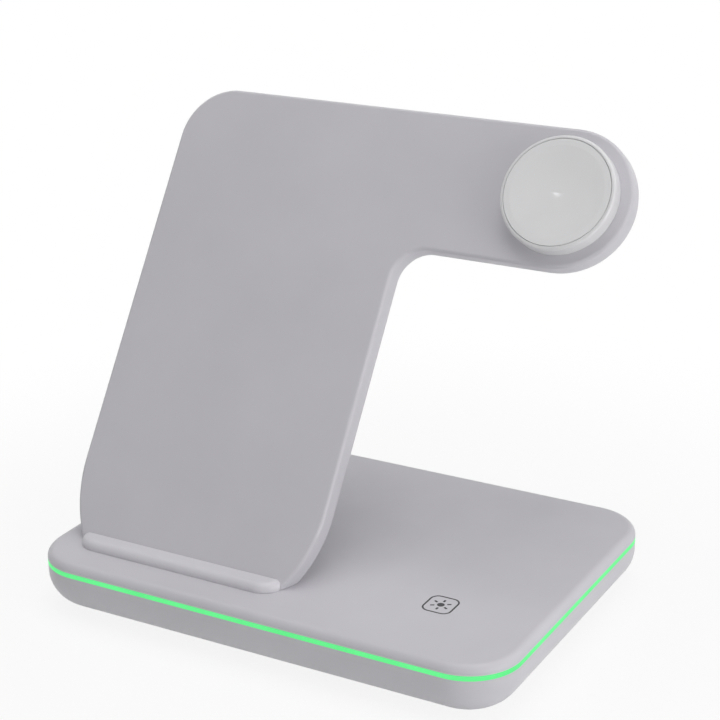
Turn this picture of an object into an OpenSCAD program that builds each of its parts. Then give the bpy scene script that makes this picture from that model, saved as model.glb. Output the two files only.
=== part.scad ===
// Wireless charging station: a low base with a light line round it, a tilted
// upright with a side arm, and a round puck on the arm.
// Origin: centre of the base on the table. +X right, +Y back, +Z up.

/* [Base] */
// Width of the base, left to right
base_w = 148.7; // [140:0.1:170]
// Depth of the base, front to back
base_d = 107.2; // [100:0.1:130]
// Height of the deck above the table
base_h = 17.5; // [17:0.1:21]
// Corner radius of the base seen from above
base_corner_r = 15.3; // [14:0.1:20]
// Radius of the rolled edge round the deck
deck_edge_r = 2.4; // [1.6:0.1:2.5]
// Radius of the belly under the base's side
belly_r = 10.5; // [9:0.1:11.5]
// Wall thickness of both base covers
cover_wall = 1.8; // [1.6:0.1:2.2]
// Thickness of the deck
deck_t = 1.8; // [1.6:0.1:2.2]
// Thickness of the bottom cover's floor
floor_t = 1.8; // [1.6:0.1:2.2]

/* [Light line] */
// Height of the light line's lower edge above the table
light_z = 13.5; // [13:0.1:14]
// Height of the light line
light_h = 1.5; // [1:0.1:2]
// Depth of the light guide from the base's side inwards
light_depth = 3.2; // [2.8:0.1:4]
// Number of lamps along each long side
lamps_long = 9; // [3:1:12]
// Number of lamps along each short side
lamps_short = 6; // [2:1:8]

/* [Feet] */
// Radius of a rubber foot
foot_r = 6; // [5:0.1:7]
// Thickness of a rubber foot
foot_t = 1.5; // [1.2:0.1:2]
// How far the feet stand out below the bottom cover
foot_proud = 0.8; // [0.4:0.1:1]
// Distance of a foot's centre from the base's sides
foot_inset = 17.5; // [17:0.1:20]

/* [Upright and arm] */
// Tilt of the upright's front face from horizontal, in degrees
stand_tilt = 56.2; // [50:0.1:70]
// Thickness of the upright and the arm
stand_t = 9; // [8.6:0.1:11]
// Width of the upright
stand_w = 81.8; // [70:0.1:84]
// Place of the upright's centre line, left or right of the base's centre
stand_x = -31.6; // [-32:0.1:-24]
// Length of the front face, from the ledge up the slope
stand_len = 138.8; // [120:0.1:160]
// Distance of the front face's lower edge from the base's front side
seat_inset = 16.35; // [14:0.05:22]
// Radius of the corner at the upright's top left
stand_corner_r = 16; // [8:0.5:20]
// Radius of the long curves that narrow the upright's foot
foot_curve_r = 42; // [42:0.5:80]
// Height on the slope where those curves start
foot_curve_v = 21; // [14:0.5:26]
// Height of the arm, measured up the slope
arm_h = 40.3; // [36:0.1:46]
// Radius of the inner corner under the arm
arm_fillet_r = 9.2; // [5:0.1:14]
// Radius of the small rolled edge round the front face
stand_edge_r = 1; // [0.5:0.1:2]
// Radius of the wide rolled edge round the back
stand_back_r = 5; // [3:0.1:5.5]
// Wall thickness of the stand's shells
shell_wall = 1.8; // [1.5:0.1:2]
// Depth of the front shell behind the front face
front_shell_t = 6.2; // [5.9:0.1:6.6]

/* [Phone ledge] */
// Length of the ledge
ledge_w = 67.7; // [60:0.1:76]
// Depth of the ledge, front to back
ledge_d = 13.2; // [13.2:0.1:18]
// How far the ledge stands in front of the seat line
ledge_front = 5.75; // [4:0.05:8]
// Height of the ledge above the deck
ledge_h = 2.5; // [2:0.1:4]
// Corner radius of the ledge
ledge_r = 6.5; // [4:0.1:6.5]
// Radius of its rolled top edge
ledge_edge_r = 2.2; // [0.6:0.1:2.3]

/* [Touch key] */
// Distance of the sun icon's middle from the base's right side
icon_side = 29.85; // [24:0.05:36]
// Distance of the sun icon's middle from the base's front side
icon_inset = 28.3; // [22:0.1:33]
// Width of the icon's frame
icon_w = 8.7; // [7:0.1:12]
// Depth of the icon's frame
icon_d = 9.4; // [7:0.1:12]
// Corner radius of the icon's frame
icon_r = 2.5; // [1.5:0.1:3]
// Width of the icon's lines
icon_line = 0.5; // [0.3:0.05:0.8]

/* [Puck for the watch] */
// Radius of the puck
puck_r = 16.5; // [15.5:0.1:18]
// How far the puck stands out of the arm
puck_h = 4.6; // [4.4:0.1:6]
// Radius of the dish in the puck's face
dish_r = 13.5; // [11:0.1:14]
// Depth of that dish
dish_depth = 0.6; // [0.3:0.05:0.8]

/* [Coils] */
// Outer radius of a phone coil
phone_coil_r = 21; // [18:0.1:22]
// Distance of the lower phone coil's centre up the slope
phone_coil_v = 42; // [36:0.5:46]
// Distance between the two phone coils' centres
phone_coil_pitch = 46; // [44.5:0.1:48]
// Outer radius of the earbuds coil
bud_coil_r = 19; // [16:0.1:20]
// Distance of the earbuds coil's middle from the base's right side
bud_coil_side = 30.05; // [29:0.05:34]
// Place of the earbuds coil, front or back of the base's centre
bud_coil_y = 7.3; // [4:0.1:10]
// Diameter of the coils' stranded wire
wire_d = 1; // [0.8:0.05:1]

/* [Hidden] */
$fn = 72;

// Clearances
seat_gap = 0.05;
fit_gap = 0.15;
hole_gap = 0.1;
cut = 1;

// Places on the deck, measured from the base's centre
seat_y = seat_inset - base_d / 2;
icon_x = base_w / 2 - icon_side;
icon_y = icon_inset - base_d / 2;
bud_coil_x = base_w / 2 - bud_coil_side;

// Base levels
floor_z = foot_proud;
inside_z = floor_z + floor_t;
light_top = light_z + light_h;
deck_under = base_h - deck_t;
deck_roll = min(deck_edge_r, base_h - light_top - hole_gap);
ledge_roll = min(ledge_edge_r, ledge_h - seat_gap - hole_gap);

// Light guide ribs and the wall behind the lamps
rib_down = 1.2;
rib_up = deck_under - light_top - hole_gap;
lamp_depth = 1;
lamp_w = 2;
lamp_h = 1.2;
strip_t = 0.4;
strip_h = 3;
lamp_inset = light_depth + fit_gap;
strip_inset = lamp_inset + lamp_depth + seat_gap;
light_wall_inset = strip_inset + strip_t + hole_gap;
light_wall_t = 1.2;
light_wall_top = deck_under - 2 * fit_gap;
// Where the wall meets the middle of the belly's skin
light_wall_foot = floor_z + belly_r
    - sqrt(pow(belly_r - cover_wall / 2, 2) - pow(belly_r - light_wall_inset - light_wall_t / 2, 2));

// Screws: shank radius, head radius, head height
base_screw = [1.2, 2.3, 1.5];
small_screw = [0.9, 1.8, 1.1];
puck_screw = [0.75, 1.4, 0.9];

// Posts at the base's corners
post_r = 3.4;
post_joint_z = 6;
post_x = base_w / 2 - foot_inset;
post_y = base_d / 2 - foot_inset;
foot_recess = foot_t - foot_proud;
head_floor_z = floor_z + foot_recess + 2.4;

// Counterweight
weight_w = 2 * (post_x - post_r) - 3;
weight_d = 50;
weight_t = 3;
weight_y = -17;
weight_z = inside_z + hole_gap;
weight_post_r = 2;
weight_post_x = weight_w / 2 - 14;

// Main board
board_w = 68;
board_d = 32;
board_t = 1.6;
board_x = 12;
board_y = base_d / 2 - light_wall_inset - light_wall_t - 1 - board_d / 2;
board_z = base_h - 10.8;
board_top = board_z + board_t;
board_hole_x = board_w / 2 - 4;
board_hole_y = board_d / 2 - 4;
standoff_r = 2.6;
// Chips, each with its place on the board, width, depth and height
board_chips = [[-16, 2, 7, 7, 0.9], [2, 4, 6, 6, 0.9], [18, 4, 5, 5, 0.9], [-2, -9, 5, 4, 1.4]];
capacitor = [3.2, 1.6, 1.6];
capacitor_row = [6, -9];
capacitor_pitch = 4.2;
capacitors = 6;
inductor = [6.6, 6.6, 2.8];
inductor_place = [-26, -4];
inductor_core = [2.8, 3];

// Input socket
socket_x = 0;
socket_w = 8.9;
socket_h = 3.2;
socket_len = 7.4;
socket_wall = 0.35;
socket_back = base_d / 2 - 0.6;
socket_z = board_top + seat_gap + socket_h / 2;
tongue_w = 13;
tongue_back = base_d / 2 - cover_wall - 2;

// Stand frame of reference: x across, v up the slope, w out of the front face
seat_z = base_h + ledge_h;
stand_l = stand_x - stand_w / 2;
stand_r = stand_x + stand_w / 2;
arm_end_r = arm_h / 2;
arm_low = stand_len - arm_h;
arm_mid = stand_len - arm_end_r;
puck_x = base_w / 2 - arm_end_r - 0.5;
foot_low = -12;
edge_lap = 0.5;
edge_depth = stand_back_r + 2 * edge_lap;
lip_t = 1;
lip_h = 1;

// Layers inside the stand, as depths behind the front face
coil_front = shell_wall + hole_gap;
coil_back = coil_front + wire_d;
ferrite_t = 0.8;
ferrite_back = coil_back + hole_gap + ferrite_t;
frame_t = 1.2;
frame_front = ferrite_back + hole_gap;
frame_back = frame_front + frame_t;
frame_mid = frame_front + frame_t / 2;

// Stand frame
frame_w = 54;
frame_top = stand_len - 12;
frame_arm_low = arm_low + 8;
frame_arm_end = puck_x - puck_r - 3;
frame_bend_r = 3;
frame_foot_z = base_h - 6.9;
frame_foot_back = 2;
frame_foot_w = 42;
frame_screw_x = 17;
frame_screw_y = [-20, -5];
shell_screw_x = 23.5;
shell_screw_v = [12, stand_len - 22];
window_v = phone_coil_v + phone_coil_pitch / 2;

// Puck layers, as heights above the arm's face
puck_floor = 1.2;
puck_wall = 1.2;
face_t = 1.3;
face_z = puck_h - face_t;
puck_neck_r = 5;
puck_screw_r = 13.3;
magnet_r = 4.4;
puck_coil_r = 11;

// Earbuds coil stack under the deck
bud_z = deck_under - hole_gap;
bracket_t = 1.2;
bracket_ear = bud_coil_r + 3;

// A point on the stand, given across, up the slope and out of the face
function on_stand(x, v, w) = [
    x,
    seat_y + v * cos(stand_tilt) - w * sin(stand_tilt),
    seat_z + v * sin(stand_tilt) + w * cos(stand_tilt)
];

// Places its children on the stand's front face
module stand_place() {
    translate([0, seat_y, seat_z])
        rotate([stand_tilt, 0, 0])
            children();
}

// Rounded rectangle made of two bars and four discs
module rounded_rect(w, d, r) {
    square([w - 2 * r, d], center = true);
    square([w, d - 2 * r], center = true);
    for (sx = [-1, 1], sy = [-1, 1])
        translate([sx * (w / 2 - r), sy * (d / 2 - r)])
            circle(r);
}

// The base's outline, moved inwards by a distance
module base_outline(inset) {
    rounded_rect(base_w - 2 * inset, base_d - 2 * inset, base_corner_r - inset);
}

// A wall that follows the base's outline between two distances from its side
module base_ring(outer, inner, z, h) {
    translate([0, 0, z])
        linear_extrude(h)
            difference() {
                base_outline(outer);
                base_outline(inner);
            }
}

// Carries a section round a rounded rectangle; the section's x starts on the corner's axis
module swept_slab(w, d, r, z, h) {
    cx = w / 2 - r;
    cy = d / 2 - r;
    corners = [[cx, cy], [-cx, cy], [-cx, -cy], [cx, -cy]];
    for (q = [0:3])
        translate([corners[q][0], corners[q][1], z])
            rotate([0, 0, 90 * q]) {
                rotate_extrude(angle = 90)
                    children();
                rotate([90, 0, 0])
                    linear_extrude(q % 2 == 0 ? 2 * cy : 2 * cx)
                        children();
            }
    translate([-cx, -cy, z])
        cube([2 * cx, 2 * cy, h]);
}

// Section with its upper outer corner rounded
module top_rounded_section(r, h, edge) {
    square([r, h - edge]);
    square([r - edge, h]);
    intersection() {
        translate([r - edge, h - edge])
            circle(edge);
        translate([0, h - edge])
            square([r, edge]);
    }
}

// Section with its lower outer corner rounded
module bottom_rounded_section(r, h, edge) {
    translate([0, edge])
        square([r, h - edge]);
    square([r - edge, h]);
    intersection() {
        translate([r - edge, edge])
            circle(edge);
        square([r, edge]);
    }
}

// A screw that points up, with its head's top face at the origin
module screw(size, len) {
    translate([0, 0, -size[2]])
        cylinder(r = size[1], h = size[2]);
    translate([0, 0, -size[2] / 2])
        cylinder(r = size[0], h = len + size[2] / 2);
    }

// Concentric turns of round wire, lying with their lowest line at z = 0
module flat_coil(outer, inner) {
    turns = floor((outer - inner) / wire_d);
    rotate_extrude()
        for (i = [0:turns - 1])
            translate([outer - wire_d / 2 - i * wire_d * 0.96, wire_d / 2])
                circle(d = wire_d, $fn = 24);
}

// A sleeved lead through a list of points
module lead(points, r) {
    for (i = [0:len(points) - 2]) {
        step = points[i + 1] - points[i];
        span = norm(step);
        translate(points[i])
            rotate([0, acos(step[2] / span), atan2(step[1], step[0])])
                rotate([0, 0, 40])
                    cylinder(r = r, h = span, $fn = 24);
    }
    for (i = [1:len(points) - 2])
        translate(points[i])
            sphere(r * 1.06, $fn = 24);
}

// The base

module base_top_cover() {
    color([0.88, 0.87, 0.89])
        difference() {
            union() {
                difference() {
                    swept_slab(base_w, base_d, base_corner_r, light_top, base_h - light_top)
                        top_rounded_section(base_corner_r, base_h - light_top, deck_roll);
                    translate([0, 0, light_top - cut])
                        linear_extrude(deck_under - light_top + cut)
                            base_outline(cover_wall);
                }
                base_post_bosses();
                frame_bosses();
                bracket_bosses();
            }
            base_post_holes();
            frame_boss_holes();
            bracket_boss_holes();
            foot_slot();
            ledge_peg_holes();
            icon_pocket();
        }
}

// Corner bosses that take the base screws
module base_post_bosses() {
    for (sx = [-1, 1], sy = [-1, 1])
        translate([sx * post_x, sy * post_y, post_joint_z + hole_gap])
            cylinder(r = post_r, h = deck_under - post_joint_z);
}

module base_post_holes() {
    for (sx = [-1, 1], sy = [-1, 1])
        translate([sx * post_x, sy * post_y, post_joint_z])
            cylinder(r = base_screw[0] + seat_gap, h = deck_under - post_joint_z - hole_gap);
}

// Bosses that the stand frame's foot is screwed to
module frame_bosses() {
    for (sx = [-1, 1], y = frame_screw_y)
        translate([stand_x + sx * frame_screw_x, y, frame_foot_z + frame_t / 2 + seat_gap])
            cylinder(r = 3, h = deck_under - frame_foot_z - frame_t / 2 + seat_gap);
}

module frame_boss_holes() {
    for (sx = [-1, 1], y = frame_screw_y)
        translate([stand_x + sx * frame_screw_x, y, frame_foot_z])
            cylinder(r = base_screw[0] + seat_gap, h = deck_under - frame_foot_z);
}

// Bosses that the earbuds coil's bracket is screwed to
module bracket_bosses() {
    for (a = [90, 210, 330])
        translate([bud_coil_x, bud_coil_y, 0])
            rotate([0, 0, a])
                translate([bracket_ear, 0, bracket_top()])
                    cylinder(r = 2.2, h = deck_under - bracket_top() + seat_gap);
}

module bracket_boss_holes() {
    for (a = [90, 210, 330])
        translate([bud_coil_x, bud_coil_y, 0])
            rotate([0, 0, a])
                translate([bracket_ear, 0, bracket_top() - cut])
                    cylinder(r = small_screw[0] + seat_gap, h = deck_under - bracket_top() + cut + hole_gap);
}

function bracket_top() = bud_z - wire_d - hole_gap - ferrite_t - seat_gap;

// Slot in the deck for the stand frame and the stand's leads
module foot_slot() {
    slot_front = frame_bend_centre_y() - frame_bend_r - frame_t - 0.5;
    slot_back = on_stand(0, lead_low_v(base_h), lead_w)[1] + lead_r + 0.4;
    translate([stand_x - frame_foot_w / 2 - fit_gap, slot_front, deck_under - cut])
        cube([frame_foot_w + 2 * fit_gap, slot_back - slot_front, deck_t + 2 * cut]);
}

module ledge_peg_holes() {
    for (sx = [-1, 1])
        translate([stand_x + sx * ledge_w * 0.36, ledge_peg_y(), deck_under - cut])
            cylinder(r = 1 + hole_gap, h = deck_t + 2 * cut);
}

function ledge_peg_y() = seat_y - ledge_front / 2 - 1;

module icon_pocket() {
    translate([icon_x, icon_y, base_h - 0.3])
        linear_extrude(cut)
            icon_shape();
}

// The touch key's mark: a rounded square with a sun of one dot and six rays
module icon_shape() {
    ray_in = icon_w * 0.2;
    ray_out = icon_w * 0.33;
    ray_w = icon_line * 1.2;
    difference() {
        rounded_rect(icon_w, icon_d, icon_r);
        rounded_rect(icon_w - 2 * icon_line, icon_d - 2 * icon_line, icon_r - icon_line);
    }
    circle(r = icon_w * 0.12);
    for (a = [30:60:330])
        rotate([0, 0, a])
            translate([ray_in, -ray_w / 2])
                square([ray_out - ray_in, ray_w]);
}

module touch_icon() {
    color([0.3, 0.3, 0.33])
        translate([icon_x, icon_y, base_h - 0.3])
            linear_extrude(0.32)
                icon_shape();
}

module light_guide() {
    color([0.5, 1, 0.6]) {
        base_ring(0, light_depth, light_z + seat_gap / 2, light_h - seat_gap);
        base_ring(cover_wall + fit_gap, light_depth, light_z - rib_down, rib_down + light_h + rib_up);
    }
}

module base_bottom_cover() {
    color([0.84, 0.83, 0.85])
        difference() {
            union() {
                difference() {
                    swept_slab(base_w, base_d, base_corner_r, floor_z, light_z - floor_z)
                        bottom_rounded_section(base_corner_r, light_z - floor_z, belly_r);
                    swept_slab(base_w - 2 * cover_wall, base_d - 2 * cover_wall, base_corner_r - cover_wall,
                               inside_z, light_z - inside_z + cut)
                        bottom_rounded_section(base_corner_r - cover_wall, light_z - inside_z + cut,
                                               belly_r - cover_wall);
                }
                base_ring(light_wall_inset, light_wall_inset + light_wall_t, light_wall_foot,
                          light_wall_top - light_wall_foot);
                corner_posts();
                board_standoffs();
                weight_posts();
            }
            corner_post_holes();
            board_standoff_holes();
            socket_opening();
            lead_notch();
        }
}

module corner_posts() {
    for (sx = [-1, 1], sy = [-1, 1])
        translate([sx * post_x, sy * post_y, inside_z - hole_gap])
            cylinder(r = post_r + 0.6, h = post_joint_z - inside_z + hole_gap);
}

// Foot recess, screw-head pocket and clearance hole at each corner
module corner_post_holes() {
    for (sx = [-1, 1], sy = [-1, 1])
        translate([sx * post_x, sy * post_y, floor_z - cut]) {
            cylinder(r = foot_r + hole_gap, h = foot_recess + cut);
            cylinder(r = base_screw[1] + fit_gap, h = head_floor_z - floor_z + cut);
            cylinder(r = base_screw[0] + fit_gap, h = post_joint_z - floor_z + 2 * cut);
        }
}

module board_corners() {
    for (sx = [-1, 1], sy = [-1, 1])
        translate([board_x + sx * board_hole_x, board_y + sy * board_hole_y, 0])
            children();
}

module board_standoffs() {
    board_corners()
        translate([0, 0, inside_z - hole_gap])
            cylinder(r = standoff_r, h = board_z - inside_z + hole_gap - seat_gap);
}

module board_standoff_holes() {
    board_corners()
        translate([0, 0, floor_z + 1])
            cylinder(r = small_screw[0] + seat_gap, h = board_z);
}

module weight_posts() {
    for (sx = [-1, 1])
        translate([sx * weight_post_x, weight_y, inside_z - hole_gap])
            cylinder(r = weight_post_r, h = weight_t);
}

// The hole for the plug in the back wall, and the board tongue's way through the light wall
module socket_opening() {
    open_w = socket_w + 2 * fit_gap;
    open_h = socket_h + 2 * fit_gap;
    translate([socket_x, base_d / 2 - base_corner_r / 2, socket_z])
        rotate([-90, 0, 0])
            linear_extrude(base_corner_r)
                rounded_rect(open_w, open_h, open_h / 2 - 0.01);
    translate([socket_x - tongue_w / 2 - 0.5, base_d / 2 - light_wall_inset - light_wall_t - cut, board_z - 0.3])
        cube([tongue_w + 1, light_wall_t + 2 * cut, socket_z + socket_h / 2 + 0.4 - board_z]);
}

// Notch in the light wall that lets the light strip's lead through
module lead_notch() {
    translate([strip_lead_x() - 1.2, base_d / 2 - light_wall_inset - light_wall_t - cut, strip_lead_z() - 1.2])
        cube([2.4, light_wall_t + 2 * cut, 2.4]);
}

function strip_lead_x() = board_x + board_w / 2 - 8;
function strip_lead_z() = light_z + 0.2;

module rubber_feet() {
    color([0.35, 0.35, 0.37])
        for (sx = [-1, 1], sy = [-1, 1])
            translate([sx * post_x, sy * post_y, 0]) {
                translate([0, 0, 0.3])
                    cylinder(r = foot_r, h = foot_t - 0.3 - seat_gap);
                cylinder(r1 = foot_r - 0.4, r2 = foot_r, h = 0.3);
            }
}

module base_screws() {
    color("silver")
        for (sx = [-1, 1], sy = [-1, 1])
            translate([sx * post_x, sy * post_y, head_floor_z - seat_gap])
                screw(base_screw, deck_under - head_floor_z - 1);
}

module counterweight() {
    color([0.55, 0.56, 0.58])
        translate([0, weight_y, weight_z])
            linear_extrude(weight_t)
                difference() {
                    rounded_rect(weight_w, weight_d, 4);
                    for (sx = [-1, 1])
                        translate([sx * weight_post_x, 0])
                            circle(weight_post_r + fit_gap);
                }
}

module main_board() {
    color([0.1, 0.35, 0.2])
        translate([0, 0, board_z])
            linear_extrude(board_t)
                difference() {
                    union() {
                        translate([board_x, board_y])
                            rounded_rect(board_w, board_d, 1.5);
                        translate([socket_x - tongue_w / 2, board_y])
                            square([tongue_w, tongue_back - board_y]);
                    }
                    board_corners()
                        circle(small_screw[0] + fit_gap);
                }
}

module on_board(x, y) {
    translate([board_x + x, board_y + y, board_top + seat_gap])
        children();
}

// A flat chip with its width, depth and height
module chip(w, d, h) {
    translate([-w / 2, -d / 2, 0])
        cube([w, d, h]);
}

module controller_chips() {
    color([0.12, 0.12, 0.13])
        for (c = board_chips)
            on_board(c[0], c[1])
                chip(c[2], c[3], c[4]);
}

module resonance_capacitors() {
    color([0.72, 0.6, 0.45])
        for (i = [0:capacitors - 1])
            on_board(capacitor_row[0] + i * capacitor_pitch, capacitor_row[1])
                chip(capacitor[0], capacitor[1], capacitor[2]);
}

module power_inductor() {
    color([0.28, 0.28, 0.3])
        on_board(inductor_place[0], inductor_place[1]) {
            chip(inductor[0], inductor[1], inductor[2]);
            cylinder(r = inductor_core[0], h = inductor_core[1]);
        }
}

module board_screws() {
    color("silver")
        board_corners()
            translate([0, 0, board_top + seat_gap])
                mirror([0, 0, 1])
                    screw(small_screw, board_top - floor_z - 1.4);
}

// Socket shell: a drawn tube with a stadium-shaped mouth, open to the back
module socket_shell() {
    color("silver")
        translate([socket_x, socket_back, socket_z])
            rotate([90, 0, 0])
                difference() {
                    linear_extrude(socket_len)
                        rounded_rect(socket_w, socket_h, socket_h / 2 - 0.01);
                    translate([0, 0, -cut])
                        linear_extrude(socket_len - 0.8 + cut)
                            rounded_rect(socket_w - 2 * socket_wall, socket_h - 2 * socket_wall,
                                         socket_h / 2 - socket_wall - 0.01);
                }
}

module socket_tongue() {
    color([0.15, 0.15, 0.16])
        translate([socket_x, socket_back - socket_len + 0.8 + seat_gap, socket_z]) {
            translate([-3.3, 0, -0.35])
                cube([6.6, 5.2, 0.7]);
            translate([-3.3, 0, -1.1])
                cube([6.6, 1.4, 2.2]);
        }
}

module light_strip() {
    color([0.95, 0.95, 0.9])
        base_ring(strip_inset, strip_inset + strip_t, light_wall_top - strip_h, strip_h);
}

// One lamp, standing on the strip and shining outwards along +X
module lamp(reach) {
    translate([reach - lamp_inset - lamp_depth, -lamp_w / 2, light_z + (light_h - lamp_h) / 2])
        cube([lamp_depth, lamp_w, lamp_h]);
}

module light_strip_lamps() {
    color([0.9, 1, 0.9]) {
        for (s = [0, 180], i = [0:lamps_long - 1])
            rotate([0, 0, 90 + s])
                translate([0, (i - (lamps_long - 1) / 2) * (base_w - 2 * base_corner_r) / lamps_long, 0])
                    lamp(base_d / 2);
        for (s = [0, 180], i = [0:lamps_short - 1])
            rotate([0, 0, s])
                translate([0, (i - (lamps_short - 1) / 2) * (base_d - 2 * base_corner_r) / lamps_short, 0])
                    lamp(base_w / 2);
    }
}

module touch_board() {
    color([0.1, 0.35, 0.2])
        translate([icon_x, icon_y, deck_under - hole_gap - 1]) {
            translate([0, 0, 0.4])
                linear_extrude(0.6)
                    rounded_rect(icon_w + 6, icon_d + 4, 1);
            translate([-1.5, -1.5, -0.3])
                cube([3, 3, 0.8]);
        }
}

module earbuds_coil() {
    color([0.75, 0.45, 0.25])
        translate([bud_coil_x, bud_coil_y, bud_z - wire_d])
            flat_coil(bud_coil_r, bud_coil_r / 2);
}

module earbuds_ferrite() {
    color([0.22, 0.22, 0.24])
        translate([bud_coil_x, bud_coil_y, bracket_top() + seat_gap])
            cylinder(r = bud_coil_r + 0.6, h = ferrite_t);
}

module earbuds_bracket() {
    color([0.3, 0.3, 0.32])
        translate([bud_coil_x, bud_coil_y, bracket_top() - seat_gap - bracket_t])
            linear_extrude(bracket_t)
                difference() {
                    union() {
                        circle(bud_coil_r - 2);
                        for (a = [90, 210, 330])
                            rotate([0, 0, a]) {
                                translate([0, -2.4])
                                    square([bracket_ear, 4.8]);
                                translate([bracket_ear, 0])
                                    circle(2.4);
                            }
                    }
                    circle(bud_coil_r / 2);
                    for (a = [90, 210, 330])
                        rotate([0, 0, a])
                            translate([bracket_ear, 0])
                                circle(small_screw[0] + hole_gap);
                }
}

module bracket_screws() {
    color("silver")
        for (a = [90, 210, 330])
            translate([bud_coil_x, bud_coil_y, bracket_top() - 2 * seat_gap - bracket_t])
                rotate([0, 0, a])
                    translate([bracket_ear, 0, 0])
                        screw(small_screw, deck_under - bracket_top() + bracket_t);
}

// The phone ledge

module phone_ledge() {
    color([0.92, 0.91, 0.93])
        difference() {
            union() {
                translate([stand_x, seat_y - ledge_front + ledge_d / 2, 0])
                    swept_slab(ledge_w, ledge_d, ledge_r, base_h + seat_gap, ledge_h - seat_gap)
                        top_rounded_section(ledge_r, ledge_h - seat_gap, ledge_roll);
                for (sx = [-1, 1])
                    translate([stand_x + sx * ledge_w * 0.36, ledge_peg_y(), deck_under])
                        cylinder(r = 1, h = deck_t + 1);
            }
            stand_place()
                translate([0, 0, -stand_t - hole_gap])
                    linear_extrude(stand_t + 2 * hole_gap)
                        stand_outline(-hole_gap);
        }
}

// The upright and arm

// Outline of the upright and arm, moved inwards by a distance
module stand_outline(inset) {
    translate([stand_l + inset, foot_curve_v])
        square([stand_w - 2 * inset, stand_len - stand_corner_r - foot_curve_v]);
    translate([stand_l + stand_corner_r, stand_len - stand_corner_r - cut])
        square([puck_x - stand_l - stand_corner_r, stand_corner_r + cut - inset]);
    translate([stand_l + stand_corner_r, stand_len - stand_corner_r])
        circle(stand_corner_r - inset);
    translate([stand_r - inset - cut, arm_low + inset])
        square([puck_x - stand_r + inset + cut, arm_h - 2 * inset]);
    translate([puck_x, arm_mid])
        circle(arm_end_r - inset);
    difference() {
        translate([stand_r - inset - cut, arm_low - arm_fillet_r])
            square([arm_fillet_r + inset + cut, arm_fillet_r + inset + cut]);
        translate([stand_r + arm_fillet_r, arm_low - arm_fillet_r])
            circle(arm_fillet_r + inset);
    }
    intersection() {
        translate([stand_r - foot_curve_r, foot_curve_v])
            circle(foot_curve_r - inset, $fn = 144);
        translate([stand_l + foot_curve_r, foot_curve_v])
            circle(foot_curve_r - inset, $fn = 144);
        translate([stand_l, foot_low])
            square([stand_w, foot_curve_v - foot_low]);
    }
}

// Carries a section along a straight stretch of the stand's outline
module edge_line(x, v, heading, span) {
    translate([x, v, 0])
        rotate([0, 0, heading])
            rotate([90, 0, 90])
                linear_extrude(span)
                    mirror([1, 0])
                        children();
}

// Carries a section round an outer corner of the stand's outline
module edge_arc(x, v, r, start, sweep) {
    translate([x, v, 0])
        rotate([0, 0, start])
            rotate_extrude(angle = sweep, $fn = 144)
                translate([r, 0])
                    children();
}

// Carries a section round the inner corner under the arm
module edge_inner_arc(x, v, r, start, sweep) {
    translate([x, v, 0])
        rotate([0, 0, start])
            rotate_extrude(angle = sweep, $fn = 144)
                translate([r, 0])
                    mirror([1, 0])
                        children();
}

// Carries a section round the whole outline; the section's x = 0 lies on the outline
module stand_edge() {
    foot_sweep = asin((foot_curve_v - foot_low) / foot_curve_r);
    edge_line(stand_r, foot_curve_v, 90, arm_low - arm_fillet_r - foot_curve_v)
        children();
    edge_inner_arc(stand_r + arm_fillet_r, arm_low - arm_fillet_r, arm_fillet_r, 90, 90)
        children();
    edge_line(stand_r + arm_fillet_r, arm_low, 0, puck_x - stand_r - arm_fillet_r)
        children();
    edge_arc(puck_x, arm_mid, arm_end_r, -90, 180)
        children();
    edge_line(puck_x, stand_len, 180, puck_x - stand_l - stand_corner_r)
        children();
    edge_arc(stand_l + stand_corner_r, stand_len - stand_corner_r, stand_corner_r, 90, 90)
        children();
    edge_line(stand_l, stand_len - stand_corner_r, 270, stand_len - stand_corner_r - foot_curve_v)
        children();
    edge_arc(stand_l + foot_curve_r, foot_curve_v, foot_curve_r, 180, foot_sweep)
        children();
    translate([0, 2 * foot_curve_v, 0])
        mirror([0, 1, 0])
            edge_arc(stand_r - foot_curve_r, foot_curve_v, foot_curve_r, 0, foot_sweep)
                children();
}

// Section of the whole edge: a small roll at the front, a straight wall and a wide roll at the back
module edge_section() {
    wall_back = stand_t - stand_back_r;
    translate([-edge_depth, -stand_edge_r])
        square([edge_depth - stand_edge_r, stand_edge_r]);
    translate([-edge_depth, -wall_back])
        square([edge_depth, wall_back - stand_edge_r]);
    translate([-edge_depth, -stand_t])
        square([edge_depth - stand_back_r, stand_back_r]);
    intersection() {
        translate([-stand_edge_r, -stand_edge_r])
            circle(stand_edge_r);
        translate([-stand_edge_r, -stand_edge_r])
            square([stand_edge_r, stand_edge_r]);
    }
    intersection() {
        translate([-stand_back_r, -wall_back])
            circle(stand_back_r);
        translate([-stand_back_r, -stand_t])
            square([stand_back_r, stand_back_r]);
    }
}

// The part of that section which belongs to the front shell
module front_edge_section() {
    intersection() {
        edge_section();
        translate([-edge_depth, -front_shell_t])
            square([edge_depth, front_shell_t]);
    }
}

// The part of that section which belongs to the rear cover
module rear_edge_section() {
    intersection() {
        edge_section();
        translate([-edge_depth, -stand_t])
            square([edge_depth, stand_t - front_shell_t - seat_gap]);
    }
}

// Everything of the stand that would lie below the deck
module below_deck() {
    translate([-base_w, -base_d, -base_h])
        cube([2 * base_w, 2 * base_d, 2 * base_h + seat_gap]);
}

module shell_screw_places() {
    for (sx = [-1, 1], v = shell_screw_v)
        translate([stand_x + sx * shell_screw_x, v, 0])
            children();
}

module puck_screw_places() {
    for (a = [30, 150, 270])
        translate([puck_x, arm_mid, 0])
            rotate([0, 0, a])
                translate([puck_screw_r, 0, 0])
                    children();
}

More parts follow.
